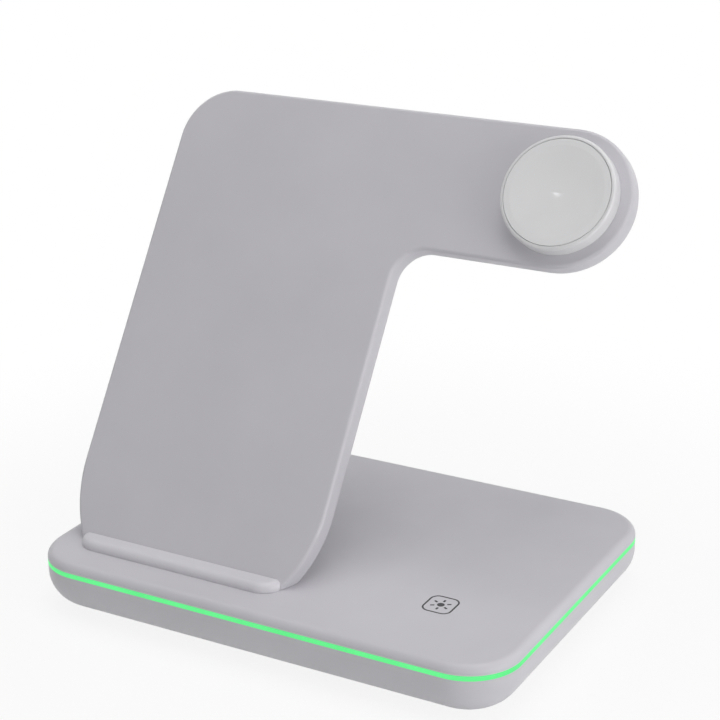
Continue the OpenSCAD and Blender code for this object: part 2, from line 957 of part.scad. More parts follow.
module stand_front_shell() {
    color([0.88, 0.87, 0.89])
        difference() {
            stand_place()
                difference() {
                    union() {
                        difference() {
                            union() {
                                translate([0, 0, -front_shell_t])
                                    linear_extrude(front_shell_t)
                                        stand_outline(edge_depth - edge_lap);
                                stand_edge()
                                    front_edge_section();
                            }
                            translate([0, 0, -front_shell_t - cut])
                                linear_extrude(front_shell_t - shell_wall + cut)
                                    stand_outline(shell_wall);
                        }
                        shell_screw_places()
                            translate([0, 0, -frame_front + seat_gap])
                                cylinder(r = 2.6, h = frame_front - shell_wall + hole_gap);
                    }
                    shell_screw_places()
                        translate([0, 0, -frame_front - cut])
                            cylinder(r = small_screw[0] + seat_gap, h = frame_front - shell_wall + cut + 0.4);
                    puck_screw_places()
                        translate([0, 0, -shell_wall - cut])
                            cylinder(r = puck_screw[0] + hole_gap, h = shell_wall + 2 * cut);
                    translate([puck_x, arm_mid, -shell_wall - cut])
                        cylinder(r = puck_neck_r + hole_gap, h = shell_wall + 2 * cut);
                }
            below_deck();
        }
}

module stand_rear_cover() {
    color([0.84, 0.83, 0.85])
        difference() {
            stand_place() {
                difference() {
                    union() {
                        translate([0, 0, -stand_t])
                            linear_extrude(stand_t - front_shell_t - seat_gap)
                                stand_outline(edge_depth - edge_lap);
                        stand_edge()
                            rear_edge_section();
                    }
                    translate([0, 0, -stand_t + shell_wall])
                        linear_extrude(stand_t)
                            stand_outline(shell_wall + fit_gap + lip_t);
                }
                translate([0, 0, -front_shell_t - lip_h])
                    linear_extrude(2 * lip_h)
                        difference() {
                            stand_outline(shell_wall + fit_gap);
                            stand_outline(shell_wall + fit_gap + lip_t);
                        }
            }
            below_deck();
        }
}

// Steel frame: a plate with a branch into the arm, bent back into a foot under the deck
module stand_frame() {
    color([0.6, 0.61, 0.63])
        difference() {
            stand_place() {
                translate([stand_x - frame_w / 2, 0, 0])
                    rotate([90, 0, 90])
                        linear_extrude(frame_w)
                            frame_side_profile();
                translate([stand_x, frame_arm_low, -frame_back])
                    cube([frame_arm_end - stand_x, frame_top - frame_arm_low, frame_t]);
            }
            stand_place() {
                shell_screw_places()
                    translate([0, 0, -frame_back - cut])
                        cylinder(r = small_screw[0] + hole_gap, h = frame_t + 2 * cut);
                translate([stand_x, window_v, -frame_back - cut])
                    linear_extrude(frame_t + 2 * cut)
                        rounded_rect(14, 4, 1.9);
            }
            for (sx = [-1, 1], y = frame_screw_y)
                translate([stand_x + sx * frame_screw_x, y, frame_foot_z - cut])
                    cylinder(r = base_screw[0] + hole_gap, h = 2 * cut);
            for (sx = [-1, 1])
                translate([stand_x + sx * frame_foot_w - frame_foot_w / 2, -base_d / 2, 0])
                    cube([frame_foot_w, base_d, base_h + 2]);
        }
}

// Bend of the frame, in the stand's side view: distance up the slope, distance out of the face
function frame_bend_v() =
    (frame_foot_z + frame_mid_r() * (1 + cos(stand_tilt)) - seat_z + frame_mid * cos(stand_tilt))
    / sin(stand_tilt);
function frame_mid_r() = frame_bend_r + frame_t / 2;
function frame_bend_centre() = [frame_bend_v(), -frame_mid - frame_mid_r()];
function frame_bend_centre_y() = on_stand(0, frame_bend_centre()[0], frame_bend_centre()[1])[1];
function frame_bend_point(r, angle) = frame_bend_centre() + r * [cos(angle), sin(angle)];

// The frame's side profile: down the plate's front, round the bend, along the foot and back
module frame_side_profile() {
    outer_r = frame_bend_r + frame_t;
    foot_angle = 270 - stand_tilt;
    foot_run = (frame_foot_back - frame_bend_centre_y()) * [cos(stand_tilt), -sin(stand_tilt)];
    bend_steps = 16;
    turn = (foot_angle - 90) / bend_steps;
    polygon(concat(
        [[frame_top, -frame_front]],
        [for (i = [0:bend_steps]) frame_bend_point(outer_r, 90 + i * turn)],
        [frame_bend_point(outer_r, foot_angle) + foot_run],
        [frame_bend_point(frame_bend_r, foot_angle) + foot_run],
        [for (i = [bend_steps:-1:0]) frame_bend_point(frame_bend_r, 90 + i * turn)],
        [[frame_top, -frame_back]]
    ));
}

module frame_screws() {
    color("silver")
        for (sx = [-1, 1], y = frame_screw_y)
            translate([stand_x + sx * frame_screw_x, y, frame_foot_z - frame_t / 2 - seat_gap])
                screw(base_screw, deck_under - frame_foot_z);
}

module shell_screws() {
    color("silver")
        stand_place()
            shell_screw_places()
                translate([0, 0, -frame_back - seat_gap])
                    screw(small_screw, frame_back - shell_wall);
}

module phone_coil_places() {
    stand_place()
        for (i = [0, 1])
            translate([stand_x, phone_coil_v + i * phone_coil_pitch, 0])
                children();
}

module phone_coils() {
    color([0.75, 0.45, 0.25])
        phone_coil_places()
            translate([0, 0, -coil_back])
                flat_coil(phone_coil_r, phone_coil_r / 2);
}

module phone_ferrites() {
    color([0.22, 0.22, 0.24])
        phone_coil_places()
            translate([0, 0, -ferrite_back])
                linear_extrude(ferrite_t)
                    rounded_rect(2 * phone_coil_r + 1, 2 * phone_coil_r + 1, 2);
}

// The puck for the watch

module puck_place() {
    stand_place()
        translate([puck_x, arm_mid, 0])
            children();
}

module puck_housing() {
    edge = 0.8;
    color([0.93, 0.93, 0.94])
        puck_place()
            difference() {
                union() {
                    rotate_extrude($fn = 144)
                        translate([0, seat_gap])
                            difference() {
                                top_rounded_section(puck_r, puck_h - seat_gap, edge);
                                translate([0, puck_floor])
                                    square([puck_r - puck_wall, face_z - puck_floor - seat_gap]);
                                translate([0, face_z - 2 * seat_gap])
                                    square([puck_r - puck_wall + fit_gap, puck_h]);
                            }
                    for (a = [30, 150, 270])
                        rotate([0, 0, a])
                            translate([puck_screw_r, 0, puck_floor - hole_gap])
                                cylinder(r = 1.7, h = face_z - puck_floor - seat_gap);
                    translate([0, 0, -shell_wall - hole_gap])
                        cylinder(r = puck_neck_r, h = shell_wall + hole_gap + puck_floor);
                }
                translate([0, 0, -shell_wall - cut])
                    cylinder(r = puck_neck_r - 1.2, h = shell_wall + cut + puck_floor + hole_gap);
                for (a = [30, 150, 270])
                    rotate([0, 0, a])
                        translate([puck_screw_r, 0, -cut])
                            cylinder(r = puck_screw[0] + seat_gap, h = puck_h - face_t + cut - 0.5);
            }
}

module puck_face() {
    bowl_r = (dish_r * dish_r + dish_depth * dish_depth) / (2 * dish_depth);
    color([0.97, 0.97, 0.97])
        puck_place()
            translate([0, 0, face_z])
                rotate_extrude($fn = 144)
                    difference() {
                        square([puck_r - puck_wall, face_t]);
                        translate([0, face_t - dish_depth + bowl_r])
                            circle(bowl_r, $fn = 720);
                    }
}

module puck_magnet() {
    color("silver")
        puck_place()
            translate([0, 0, puck_floor + hole_gap])
                cylinder(r = magnet_r, h = face_z - puck_floor - hole_gap - seat_gap);
}

module puck_ferrite() {
    color([0.22, 0.22, 0.24])
        puck_place()
            translate([0, 0, puck_floor + hole_gap])
                difference() {
                    cylinder(r = puck_coil_r + 0.3, h = ferrite_t);
                    translate([0, 0, -cut])
                        cylinder(r = magnet_r + hole_gap, h = 3 * cut);
                }
}

module puck_coil() {
    color([0.75, 0.45, 0.25])
        puck_place()
            translate([0, 0, puck_floor + 2 * hole_gap + ferrite_t - seat_gap])
                flat_coil(puck_coil_r, magnet_r + 0.6);
}

module puck_screws() {
    color("silver")
        stand_place()
            puck_screw_places()
                translate([0, 0, -shell_wall - seat_gap])
                    screw(puck_screw, shell_wall + puck_h - face_t - 0.8);
}

// Leads

lead_r = 0.7;
lead_deck_z = deck_under - 1.2;
lead_w = -(frame_back + small_screw[2] / 2 + lead_r);
lead_board_y = board_y - board_d / 2 + 3;

// How far up the slope the stand's leads are where they pass a given height
function lead_low_v(z) = (z - seat_z - lead_w * cos(stand_tilt)) / sin(stand_tilt);

module phone_coil_lead() {
    x = stand_x + 6;
    color([0.8, 0.2, 0.2])
        lead([
            [board_x - board_w / 2 + 8, lead_board_y, board_top + seat_gap + lead_r],
            [board_x - board_w / 2 + 7, lead_board_y - 6, lead_deck_z],
            [x, frame_foot_back, lead_deck_z],
            on_stand(x, lead_low_v(lead_deck_z), lead_w),
            on_stand(x, window_v - 0.6, lead_w),
            on_stand(x - 4, window_v, -frame_front + lead_r)
        ], lead_r);
}

module watch_coil_lead() {
    x = stand_x + 10.5;
    color([0.9, 0.9, 0.9])
        lead([
            [board_x - board_w / 2 + 14, lead_board_y, board_top + seat_gap + lead_r],
            [board_x - board_w / 2 + 13, lead_board_y - 4, lead_deck_z],
            [x + 0.6, frame_foot_back - 2, lead_deck_z],
            on_stand(x, lead_low_v(lead_deck_z), lead_w),
            on_stand(x, arm_mid - 14, lead_w),
            on_stand(x + 6, arm_mid - 8, lead_w),
            on_stand(puck_x - 10, arm_mid - 8, lead_w),
            on_stand(puck_x, arm_mid, lead_w),
            on_stand(puck_x, arm_mid, puck_floor - lead_r)
        ], lead_r);
}

module earbuds_coil_lead() {
    color([0.85, 0.75, 0.3])
        lead([
            [board_x + board_w / 2 - 9, lead_board_y, board_top + seat_gap + lead_r],
            [board_x + board_w / 2 - 8, lead_board_y - 4, bracket_top() - bracket_t - 1.2],
            [bud_coil_x, bud_coil_y, bracket_top() - bracket_t - 1.2],
            [bud_coil_x - 1, bud_coil_y, bracket_top() - lead_r - seat_gap]
        ], lead_r);
}

module touch_lead() {
    color([0.2, 0.4, 0.8])
        lead([
            [board_x + 1, lead_board_y, board_top + seat_gap + lead_r],
            [board_x + 2, lead_board_y - 11, lead_deck_z - 0.5],
            [board_x + 8, icon_y + 11, lead_deck_z - 0.8],
            [icon_x - 4, icon_y + 1, deck_under - hole_gap - 0.7 - lead_r - seat_gap]
        ], lead_r);
}

module light_strip_lead() {
    color([0.9, 0.9, 0.9])
        lead([
            [strip_lead_x(), board_y + 6, board_top + seat_gap + lead_r],
            [strip_lead_x() - 1.5, board_y + board_d / 2 - 2, strip_lead_z()],
            [strip_lead_x(), base_d / 2 - strip_inset - strip_t - lead_r / 2, strip_lead_z()]
        ], lead_r);
}

base_top_cover();
light_guide();
base_bottom_cover();
phone_ledge();
touch_icon();
rubber_feet();
base_screws();
counterweight();
main_board();
controller_chips();
resonance_capacitors();
power_inductor();
board_screws();
socket_shell();
socket_tongue();
light_strip();
light_strip_lamps();
touch_board();
earbuds_coil();
earbuds_ferrite();
earbuds_bracket();
bracket_screws();
stand_front_shell();
stand_rear_cover();
stand_frame();
frame_screws();
shell_screws();
phone_coils();
phone_ferrites();
puck_housing();
puck_face();
puck_magnet();
puck_coil();
puck_ferrite();
puck_screws();
phone_coil_lead();
watch_coil_lead();
earbuds_coil_lead();
touch_lead();
light_strip_lead();
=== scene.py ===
"""The looks of a wireless charging station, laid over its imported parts.

It is put together here as it is at the bench: the base's floor and what stands
on it, the lit line, the stand, the puck, and last the set it is pictured on.
Lengths are in metres, and colours are linear.
"""

import math

import bmesh
import bpy
from mathutils import Matrix, Vector

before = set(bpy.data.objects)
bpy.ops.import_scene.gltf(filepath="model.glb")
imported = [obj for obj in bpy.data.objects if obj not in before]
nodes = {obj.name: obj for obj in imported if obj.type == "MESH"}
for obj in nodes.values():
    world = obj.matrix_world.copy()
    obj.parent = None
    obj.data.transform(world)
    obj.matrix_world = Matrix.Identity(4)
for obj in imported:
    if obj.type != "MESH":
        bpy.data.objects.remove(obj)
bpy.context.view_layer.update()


# ---------------------------------------------------------------- base floor
# The lower half of the base: a shallow tub moulded in pale grey matt plastic.
# Its mould was spark-eroded, so the skin has a fine even grain and little
# shine. Posts inside it take the screws that hold the two halves together.

COVER_PALE = (0.628, 0.615, 0.652)
COVER_DEEP = (0.600, 0.588, 0.624)
COVER_SKIN = {"grain": 0.00028, "height": 0.000012, "sheen": (0.40, 0.52)}
CLOUD_SPAN = (0.3, 0.7)
TINT_PATCH = 0.03
SHEEN_PATCH = 0.011


def start_finish(name, metallic=0.0, specular=0.5, coat=0.0):
    """A new finish: its node tree, its shader and the place on the piece."""
    finish = bpy.data.materials.new(name)
    finish.use_nodes = True
    tree = finish.node_tree
    shader = tree.nodes["Principled BSDF"]
    shader.inputs["Metallic"].default_value = metallic
    shader.inputs["Specular IOR Level"].default_value = specular
    shader.inputs["Coat Weight"].default_value = coat
    place = tree.nodes.new("ShaderNodeTexCoord").outputs["Object"]
    return finish, tree, shader, place


def cloudy(tree, place, size, detail=3.0, stretch=None):
    """A cloudy pattern, mostly within CLOUD_SPAN, with patches of one size."""
    if stretch:
        squeeze = tree.nodes.new("ShaderNodeMapping")
        squeeze.inputs["Scale"].default_value = stretch
        tree.links.new(place, squeeze.inputs["Vector"])
        place = squeeze.outputs["Vector"]
    noise = tree.nodes.new("ShaderNodeTexNoise")
    noise.inputs["Scale"].default_value = 1 / size
    noise.inputs["Detail"].default_value = detail
    tree.links.new(place, noise.inputs["Vector"])
    return noise.outputs["Fac"]


def shade_between(tree, pattern, deep, pale):
    """The colour that a pattern gives, from the deep shade to the pale one."""
    ramp = tree.nodes.new("ShaderNodeValToRGB")
    for stop, place, shade in zip(ramp.color_ramp.elements, CLOUD_SPAN, (deep, pale)):
        stop.position = place
        stop.color = (*shade, 1)
    tree.links.new(pattern, ramp.inputs["Fac"])
    return ramp.outputs["Color"]


def roughen(tree, shader, pattern, sheen):
    """Lets a pattern vary the roughness within the range of the sheen."""
    scale = tree.nodes.new("ShaderNodeMapRange")
    scale.inputs["From Min"].default_value = CLOUD_SPAN[0]
    scale.inputs["From Max"].default_value = CLOUD_SPAN[1]
    scale.inputs["To Min"].default_value = sheen[0]
    scale.inputs["To Max"].default_value = sheen[1]
    tree.links.new(pattern, scale.inputs["Value"])
    tree.links.new(scale.outputs["Result"], shader.inputs["Roughness"])


def raise_grain(tree, shader, pattern, height):
    """Lets a pattern stand out of the skin by its height, over any other."""
    bump = tree.nodes.new("ShaderNodeBump")
    bump.inputs["Distance"].default_value = height
    tree.links.new(pattern, bump.inputs["Height"])
    if shader.inputs["Normal"].is_linked:
        below = shader.inputs["Normal"].links[0].from_socket
        tree.links.new(below, bump.inputs["Normal"])
    tree.links.new(bump.outputs["Normal"], shader.inputs["Normal"])


def moulded_plastic(name, deep, pale, grain, height, sheen, coat=0.0):
    """Plastic from a grained mould: cloudy colour, cloudy sheen, fine grain."""
    finish, tree, shader, place = start_finish(name, coat=coat)
    tint = shade_between(tree, cloudy(tree, place, TINT_PATCH), deep, pale)
    tree.links.new(tint, shader.inputs["Base Color"])
    roughen(tree, shader, cloudy(tree, place, SHEEN_PATCH), sheen)
    raise_grain(tree, shader, cloudy(tree, place, grain, detail=2.0), height)
    return finish


def dress(node, finish):
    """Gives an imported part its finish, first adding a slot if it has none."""
    piece = nodes[node]
    if not piece.material_slots:
        piece.data.materials.append(finish)
    for place in piece.material_slots:
        place.material = finish


cover_plastic = moulded_plastic("cover_plastic", COVER_DEEP, COVER_PALE, **COVER_SKIN)
dress("base_bottom_cover", cover_plastic)


# --------------------------------------------------------------- rubber feet
# Four dark rubber discs glued into round pockets under the corners. The
# pressed faces have fine rings that grip the table, and they take up dust.

FOOT_DEEP = (0.035, 0.035, 0.037)
FOOT_PALE = (0.070, 0.069, 0.068)
FOOT_PATCH = 0.004
FOOT_GLOSS = 0.3
FOOT_SHEEN = (0.72, 0.9)
FOOT_SHEEN_PATCH = 0.002
PORE_SIZE = 0.0004
PORE_HEIGHT = 0.00004
DUST = (0.16, 0.155, 0.15)
DUST_PATCH = 0.0012
DUST_MOST = 0.35
FOOT_MIDDLE = (0.05685, 0.0361, 0.0)
RING_PITCH = 0.0011
RING_HEIGHT = 0.00025


def dusted(tree, place, clean):
    """A clean colour with a dusty bloom over part of it."""
    share = tree.nodes.new("ShaderNodeMapRange")
    share.inputs["From Min"].default_value = CLOUD_SPAN[0]
    share.inputs["From Max"].default_value = CLOUD_SPAN[1]
    share.inputs["To Max"].default_value = DUST_MOST
    bloom = cloudy(tree, place, DUST_PATCH, detail=6.0)
    tree.links.new(bloom, share.inputs["Value"])
    blend = tree.nodes.new("ShaderNodeMix")
    blend.data_type = "RGBA"
    tree.links.new(share.outputs["Result"], blend.inputs["Factor"])
    tree.links.new(clean, blend.inputs["A"])
    blend.inputs["B"].default_value = (*DUST, 1)
    return blend.outputs["Result"]


def pressed_rings(tree, place):
    """Round ripples about the middle of each foot, alike in all four corners."""
    corner = tree.nodes.new("ShaderNodeVectorMath")
    corner.operation = "ABSOLUTE"
    tree.links.new(place, corner.inputs[0])
    flat = tree.nodes.new("ShaderNodeVectorMath")
    flat.operation = "MULTIPLY"
    flat.inputs[1].default_value = (1, 1, 0)
    tree.links.new(corner.outputs["Vector"], flat.inputs[0])
    reach = tree.nodes.new("ShaderNodeVectorMath")
    reach.operation = "DISTANCE"
    reach.inputs[1].default_value = FOOT_MIDDLE
    tree.links.new(flat.outputs["Vector"], reach.inputs[0])
    turns = tree.nodes.new("ShaderNodeMath")
    turns.operation = "MULTIPLY"
    turns.inputs[1].default_value = math.tau / RING_PITCH
    tree.links.new(reach.outputs["Value"], turns.inputs[0])
    ripple = tree.nodes.new("ShaderNodeMath")
    ripple.operation = "SINE"
    tree.links.new(turns.outputs["Value"], ripple.inputs[0])
    return ripple.outputs["Value"]


foot_rubber, tree, shader, place = start_finish("foot_rubber", specular=FOOT_GLOSS)
clean = shade_between(tree, cloudy(tree, place, FOOT_PATCH), FOOT_DEEP, FOOT_PALE)
tree.links.new(dusted(tree, place, clean), shader.inputs["Base Color"])
roughen(tree, shader, cloudy(tree, place, FOOT_SHEEN_PATCH), FOOT_SHEEN)
raise_grain(tree, shader, cloudy(tree, place, PORE_SIZE, detail=4.0), PORE_HEIGHT)
raise_grain(tree, shader, pressed_rings(tree, place), RING_HEIGHT)
dress("rubber_feet", foot_rubber)


# ------------------------------------------------------------------- screws
# Cold-headed steel screws with a zinc plate, driven into the plastic posts,
# the frame and the boards. The plate is fine-grained and dulls unevenly.

ZINC_DEEP = (0.46, 0.46, 0.47)
ZINC_PALE = (0.66, 0.66, 0.68)


def worked_metal(name, deep, pale, streak, stretch, sheen, height):
    """Bare or plated metal with the streaks of its working."""
    finish, tree, shader, place = start_finish(name, metallic=1.0)
    streaks = cloudy(tree, place, streak, detail=4.0, stretch=stretch)
    tint = shade_between(tree, streaks, deep, pale)
    tree.links.new(tint, shader.inputs["Base Color"])
    roughen(tree, shader, streaks, sheen)
    raise_grain(tree, shader, streaks, height)
    return finish


screw_zinc = worked_metal(
    "screw_zinc", ZINC_DEEP, ZINC_PALE,
    streak=0.0009, stretch=(1, 1, 4), sheen=(0.26, 0.42), height=0.00001,
)
for screws in ("base_screws", "board_screws", "bracket_screws", "frame_screws",
               "shell_screws", "puck_screws"):
    dress(screws, screw_zinc)


# ------------------------------------------------------------- counterweight
# A flat steel plate, sheared and drilled, that stops the tall stand tipping
# forward when it is loaded. Rolling leaves long streaks across it.

STEEL_DEEP = (0.27, 0.275, 0.285)
STEEL_PALE = (0.42, 0.425, 0.435)

weight_steel = worked_metal(
    "weight_steel", STEEL_DEEP, STEEL_PALE,
    streak=0.004, stretch=(1, 12, 1), sheen=(0.38, 0.6), height=0.00002,
)
dress("counterweight", weight_steel)


# ---------------------------------------------------------------- main board
# A glass-fibre board under green solder mask, with its chips, its row of
# ceramic capacitors and its shielded inductor soldered to the top. The small
# board of the touch key is made the same way.

MASK_DEEP = (0.012, 0.070, 0.030)
MASK_PALE = (0.020, 0.120, 0.052)
MASK_COAT = 0.4
MASK_SHEEN = (0.25, 0.4)
MASK_SHEEN_PATCH = 0.003
TRACKS_PER_METRE = 260
TRACK_SHARE = 0.06
TRACK_HEIGHT = 0.00003
CHIP_DEEP = (0.012, 0.012, 0.014)
CHIP_PALE = (0.024, 0.024, 0.027)
FIRED_DEEP = (0.28, 0.19, 0.11)
FIRED_PALE = (0.42, 0.30, 0.18)


def etched_tracks(tree, place):
    """Solder mask over etched tracks, which show as thin paler lines."""
    tracks = tree.nodes.new("ShaderNodeTexBrick")
    tracks.inputs["Scale"].default_value = TRACKS_PER_METRE
    tracks.inputs["Mortar Size"].default_value = TRACK_SHARE
    tracks.inputs["Color1"].default_value = (*MASK_DEEP, 1)
    tracks.inputs["Color2"].default_value = (*MASK_DEEP, 1)
    tracks.inputs["Mortar"].default_value = (*MASK_PALE, 1)
    tree.links.new(place, tracks.inputs["Vector"])
    return tracks


board_mask, tree, shader, place = start_finish("board_mask", coat=MASK_COAT)
tracks = etched_tracks(tree, place)
tree.links.new(tracks.outputs["Color"], shader.inputs["Base Color"])
roughen(tree, shader, cloudy(tree, place, MASK_SHEEN_PATCH), MASK_SHEEN)
raise_grain(tree, shader, tracks.outputs["Fac"], TRACK_HEIGHT)
dress("main_board", board_mask)
dress("touch_board", board_mask)

chip_resin = moulded_plastic(
    "chip_resin", CHIP_DEEP, CHIP_PALE, grain=0.00012, height=0.000008, sheen=(0.45, 0.6)
)
dress("controller_chips", chip_resin)
dress("power_inductor", chip_resin)

capacitor_body = moulded_plastic(
    "capacitor_body", FIRED_DEEP, FIRED_PALE,
    grain=0.0002, height=0.000008, sheen=(0.3, 0.5),
)
dress("resonance_capacitors", capacitor_body)


# ------------------------------------------------------------------- socket
# The power inlet at the back: a drawn and plated steel shell round a black
# resin tongue, with a row of gilt contacts that meet the plug.

PLATE_DEEP = (0.52, 0.52, 0.53)
PLATE_PALE = (0.66, 0.66, 0.67)
TONGUE_BLACK = (0.014, 0.014, 0.016)
TONGUE_SHEEN = (0.25, 0.4)
TONGUE_SHEEN_PATCH = 0.0008
CONTACT_GILT = (0.80, 0.56, 0.22)
CONTACT_PITCH = 0.0010
CONTACT_HEIGHT = 0.00003

socket_plate = worked_metal(
    "socket_plate", PLATE_DEEP, PLATE_PALE,
    streak=0.002, stretch=(6, 1, 6), sheen=(0.14, 0.26), height=0.000006,
)
dress("socket_shell", socket_plate)


def contact_strips(tree, place):
    """1 on a contact and 0 between two, in a row across the tongue."""
    across = tree.nodes.new("ShaderNodeSeparateXYZ")
    tree.links.new(place, across.inputs["Vector"])
    to_and_fro = tree.nodes.new("ShaderNodeMath")
    to_and_fro.operation = "PINGPONG"
    to_and_fro.inputs[1].default_value = CONTACT_PITCH / 2
    tree.links.new(across.outputs["X"], to_and_fro.inputs[0])
    strips = tree.nodes.new("ShaderNodeMath")
    strips.operation = "GREATER_THAN"
    strips.inputs[1].default_value = CONTACT_PITCH / 4
    tree.links.new(to_and_fro.outputs["Value"], strips.inputs[0])
    return strips.outputs["Value"]


tongue_resin, tree, shader, place = start_finish("tongue_resin")
strips = contact_strips(tree, place)
tint = shade_between(tree, strips, TONGUE_BLACK, CONTACT_GILT)
tree.links.new(tint, shader.inputs["Base Color"])
tree.links.new(strips, shader.inputs["Metallic"])
roughen(tree, shader, cloudy(tree, place, TONGUE_SHEEN_PATCH), TONGUE_SHEEN)
raise_grain(tree, shader, strips, CONTACT_HEIGHT)
dress("socket_tongue", tongue_resin)


# -------------------------------------------------------------- light strip
# A white flexible board on edge round the inside of the base, with small
# clear-capped lamps that shine outwards into the light guide.

STRIP_DEEP = (0.66, 0.66, 0.62)
STRIP_PALE = (0.76, 0.76, 0.73)
LAMP_DEEP = (0.72, 0.74, 0.55)
LAMP_PALE = (0.88, 0.90, 0.72)

strip_board = moulded_plastic(
    "strip_board", STRIP_DEEP, STRIP_PALE, grain=0.0005, height=0.00001, sheen=(0.4, 0.55)
)
dress("light_strip", strip_board)
lamp_cap = moulded_plastic(
    "lamp_cap", LAMP_DEEP, LAMP_PALE,
    grain=0.0008, height=0.00002, sheen=(0.1, 0.2), coat=0.5,
)
dress("light_strip_lamps", lamp_cap)


# -------------------------------------------------------------- light guide
# A milky ring of clear plastic clamped between the two halves of the base.
# Lit from inside by green lamps, it shows as one bright line all round.

GUIDE_SKIN = (0.012, 0.09, 0.03)
GUIDE_GLOSS = 0.05
GUIDE_SHEEN = (0.3, 0.42)
GUIDE_SHEEN_PATCH = 0.002
GUIDE_GRAIN = 0.0005
GUIDE_GRAIN_HEIGHT = 0.00001
GLOW_DEEP = (0.128, 0.82, 0.250)
GLOW_BRIGHT = (0.150, 0.90, 0.285)
GLOW_PATCH = 0.012

guide_glow, tree, shader, place = start_finish("guide_glow", specular=GUIDE_GLOSS)
shader.inputs["Base Color"].default_value = (*GUIDE_SKIN, 1)
glow = shade_between(tree, cloudy(tree, place, GLOW_PATCH), GLOW_DEEP, GLOW_BRIGHT)
tree.links.new(glow, shader.inputs["Emission Color"])
shader.inputs["Emission Strength"].default_value = 1.0
roughen(tree, shader, cloudy(tree, place, GUIDE_SHEEN_PATCH), GUIDE_SHEEN)
raise_grain(tree, shader, cloudy(tree, place, GUIDE_GRAIN), GUIDE_GRAIN_HEIGHT)
dress("light_guide", guide_glow)


# -------------------------------------------------------------- stand frame
# A pressed steel strip that carries the stand. It runs up inside the shells,
# branches into the arm, and its bent foot is screwed up under the deck.

FRAME_DEEP = (0.36, 0.365, 0.375)
FRAME_PALE = (0.52, 0.525, 0.54)

frame_steel = worked_metal(
    "frame_steel", FRAME_DEEP, FRAME_PALE,
    streak=0.003, stretch=(10, 1, 1), sheen=(0.32, 0.5), height=0.00001,
)
dress("stand_frame", frame_steel)


# ------------------------------------------- coils, their plates and bracket
# Each charging coil is one flat winding of stranded copper, glued to a black
# sintered plate that keeps its field off the metal behind. The pair in the
# base is held up under the deck by a dark moulded bracket.

COPPER_DEEP = (0.42, 0.15, 0.06)
COPPER_PALE = (0.72, 0.33, 0.15)
FERRITE_DEEP = (0.016, 0.016, 0.017)
FERRITE_PALE = (0.034, 0.034, 0.036)
BRACKET_DEEP = (0.035, 0.035, 0.040)
BRACKET_PALE = (0.055, 0.055, 0.060)

coil_copper = worked_metal(
    "coil_copper", COPPER_DEEP, COPPER_PALE,
    streak=0.0005, stretch=(1, 1, 1), sheen=(0.28, 0.5), height=0.00004,
)
for coil in ("earbuds_coil", "phone_coils", "puck_coil"):
    dress(coil, coil_copper)

ferrite_plate = moulded_plastic(
    "ferrite_plate", FERRITE_DEEP, FERRITE_PALE,
    grain=0.0006, height=0.00002, sheen=(0.5, 0.7),
)
for plate in ("earbuds_ferrite", "phone_ferrites", "puck_ferrite"):
    dress(plate, ferrite_plate)

bracket_plastic = moulded_plastic(
    "bracket_plastic", BRACKET_DEEP, BRACKET_PALE,
    grain=0.0004, height=0.00002, sheen=(0.5, 0.65),
)
dress("earbuds_bracket", bracket_plastic)


# ------------------------------------------------------ deck, key and ledge
# The upper half of the base in the same plastic, with a slot for the frame.
# The sun key is printed on it in dark ink, and the low ledge before the stand
# is pressed into it. The ledge is the same plastic, painted paler as painted light where
# its top and edge catch the light.

INK_DEEP = (0.012, 0.012, 0.015)
INK_PALE = (0.024, 0.023, 0.028)
# Painted light: the ledge's two shades are the cover's plastic made paler to stand in for
# the light on its top.
LEDGE_LIT_DEEP = (0.665, 0.652, 0.690)
LEDGE_LIT_PALE = (0.692, 0.680, 0.715)

dress("base_top_cover", cover_plastic)
key_ink = moulded_plastic(
    "key_ink", INK_DEEP, INK_PALE, grain=0.0003, height=0.000006, sheen=(0.45, 0.6)
)
dress("touch_icon", key_ink)
ledge_plastic_painted_paler = moulded_plastic("ledge_plastic_painted_paler", LEDGE_LIT_DEEP, LEDGE_LIT_PALE, **COVER_SKIN)
dress("phone_ledge", ledge_plastic_painted_paler)


# ------------------------------------------------------------- stand shells
# Two moulded halves that snap and screw together over the frame and coils.
# They close in a dark hairline inside the wide roll at the stand's back.

STAND_TILT = math.radians(56.2)
FACE_MIDDLE = Vector((-0.0316, 0.00725, 0.08648))
SEAM_DEPTH = 0.0062
SEAM_HALF = 0.00014
SEAM_SHADE = (0.30, 0.29, 0.31)


def add_seam(finish):
    """Draws the hairline where a level under the stand's face cuts the skin."""
    tree = finish.node_tree
    shader = tree.nodes["Principled BSDF"]
    out_of_face = Vector((0, -math.sin(STAND_TILT), math.cos(STAND_TILT)))
    place = tree.nodes.new("ShaderNodeTexCoord").outputs["Object"]
    level = tree.nodes.new("ShaderNodeVectorMath")
    level.operation = "DOT_PRODUCT"
    level.inputs[1].default_value = out_of_face
    tree.links.new(place, level.inputs[0])
    hairline = tree.nodes.new("ShaderNodeMath")
    hairline.operation = "COMPARE"
    hairline.inputs[1].default_value = out_of_face.dot(FACE_MIDDLE) - SEAM_DEPTH
    hairline.inputs[2].default_value = SEAM_HALF
    tree.links.new(level.outputs["Value"], hairline.inputs[0])
    tint = tree.nodes.new("ShaderNodeMix")
    tint.data_type = "RGBA"
    tree.links.new(hairline.outputs["Value"], tint.inputs["Factor"])
    plain = shader.inputs["Base Color"].links[0].from_socket
    tree.links.new(plain, tint.inputs["A"])
    tint.inputs["B"].default_value = (*SEAM_SHADE, 1)
    tree.links.new(tint.outputs["Result"], shader.inputs["Base Color"])


stand_plastic = cover_plastic.copy()
stand_plastic.name = "stand_plastic"
add_seam(stand_plastic)
dress("stand_front_shell", stand_plastic)
dress("stand_rear_cover", stand_plastic)


# --------------------------------------------------------------------- puck
# The round puck on the arm: a smooth white housing screwed through it, with
# a polished, slightly hollow face and a plated magnet at its heart.

